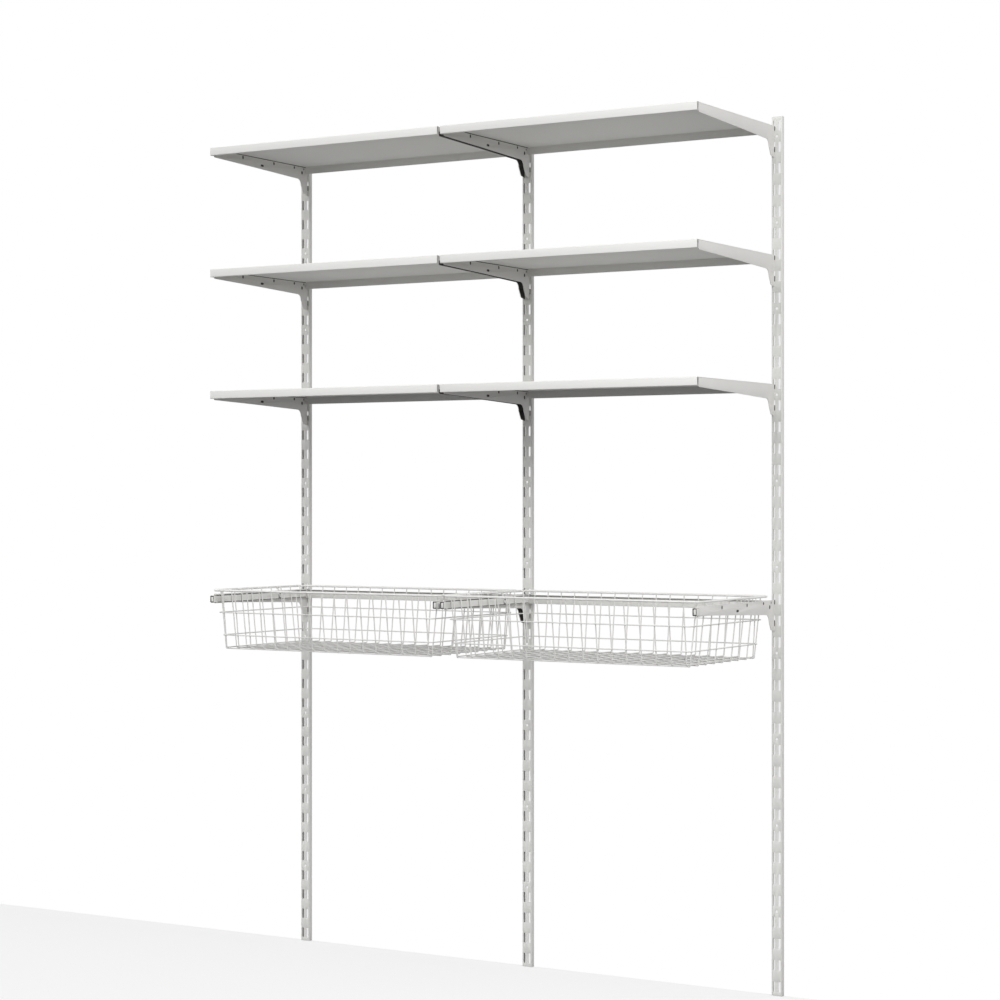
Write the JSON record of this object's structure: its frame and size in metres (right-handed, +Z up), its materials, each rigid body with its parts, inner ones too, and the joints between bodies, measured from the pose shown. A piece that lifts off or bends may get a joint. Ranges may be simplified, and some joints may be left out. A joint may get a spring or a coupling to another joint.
{
  "type": "wall-mounted laundry storage unit",
  "caption": "Wall-hung white steel storage: slotted uprights carry folded shelves on hooked brackets, with wire baskets below that pull out over runner frames.",
  "frame": {"origin": "on the wall plane behind the middle upright, at the axis of its top screw hole, 44 mm under the upright's upper end", "axes": "+X to the right along the wall, +Y into the wall, +Z up; the front faces -Y"},
  "size_m": [1.3178, 0.4, 1.96],
  "materials": {
    "upright": "satin powder coat",
    "bracket": "satin powder coat",
    "shelf": "satin powder coat",
    "runner": "satin powder coat",
    "glide": "moulded, satin",
    "basket": "satin powder coat"
  },
  "bodies": {
    "wall_frame": {"left_upright": "upright", "middle_upright": "upright", "right_upright": "upright", "left_bay_top_shelf": "shelf", "left_bay_middle_shelf": "shelf", "left_bay_lower_shelf": "shelf", "right_bay_top_shelf": "shelf", "right_bay_middle_shelf": "shelf", "right_bay_lower_shelf": "shelf", "left_bay_top_left_bracket": "bracket", "left_bay_top_right_bracket": "bracket", "left_bay_middle_left_bracket": "bracket", "left_bay_middle_right_bracket": "bracket", "left_bay_lower_left_bracket": "bracket", "left_bay_lower_right_bracket": "bracket", "left_bay_basket_left_bracket": "bracket", "left_bay_basket_right_bracket": "bracket", "right_bay_top_left_bracket": "bracket", "right_bay_top_right_bracket": "bracket", "right_bay_middle_left_bracket": "bracket", "right_bay_middle_right_bracket": "bracket", "right_bay_lower_left_bracket": "bracket", "right_bay_lower_right_bracket": "bracket", "right_bay_basket_left_bracket": "bracket", "right_bay_basket_right_bracket": "bracket", "left_bay_left_runner": "runner", "left_bay_right_runner": "runner", "right_bay_left_runner": "runner", "right_bay_right_runner": "runner", "left_bay_left_glide": "glide", "left_bay_right_glide": "glide", "right_bay_left_glide": "glide", "right_bay_right_glide": "glide", "left_bay_rear_bar": "runner", "right_bay_rear_bar": "runner"},
    "left_basket": {"left_basket_rim": "basket", "left_basket_lower_ring": "basket", "left_basket_front_wires": "basket", "left_basket_rear_wires": "basket", "left_basket_left_wires": "basket", "left_basket_right_wires": "basket", "left_basket_long_floor_wires": "basket", "left_basket_cross_floor_wires": "basket"},
    "right_basket": {"right_basket_rim": "basket", "right_basket_lower_ring": "basket", "right_basket_front_wires": "basket", "right_basket_rear_wires": "basket", "right_basket_left_wires": "basket", "right_basket_right_wires": "basket", "right_basket_long_floor_wires": "basket", "right_basket_cross_floor_wires": "basket"}
  },
  "joints": [
    {"name": "left_basket_slide", "type": "slide", "parent": "wall_frame", "child": "left_basket", "axis": [0, -1, 0], "range_m": [0, 0.28]},
    {"name": "right_basket_slide", "type": "slide", "parent": "wall_frame", "child": "right_basket", "axis": [0, -1, 0], "range_m": [0, 0.28]}
  ]
}
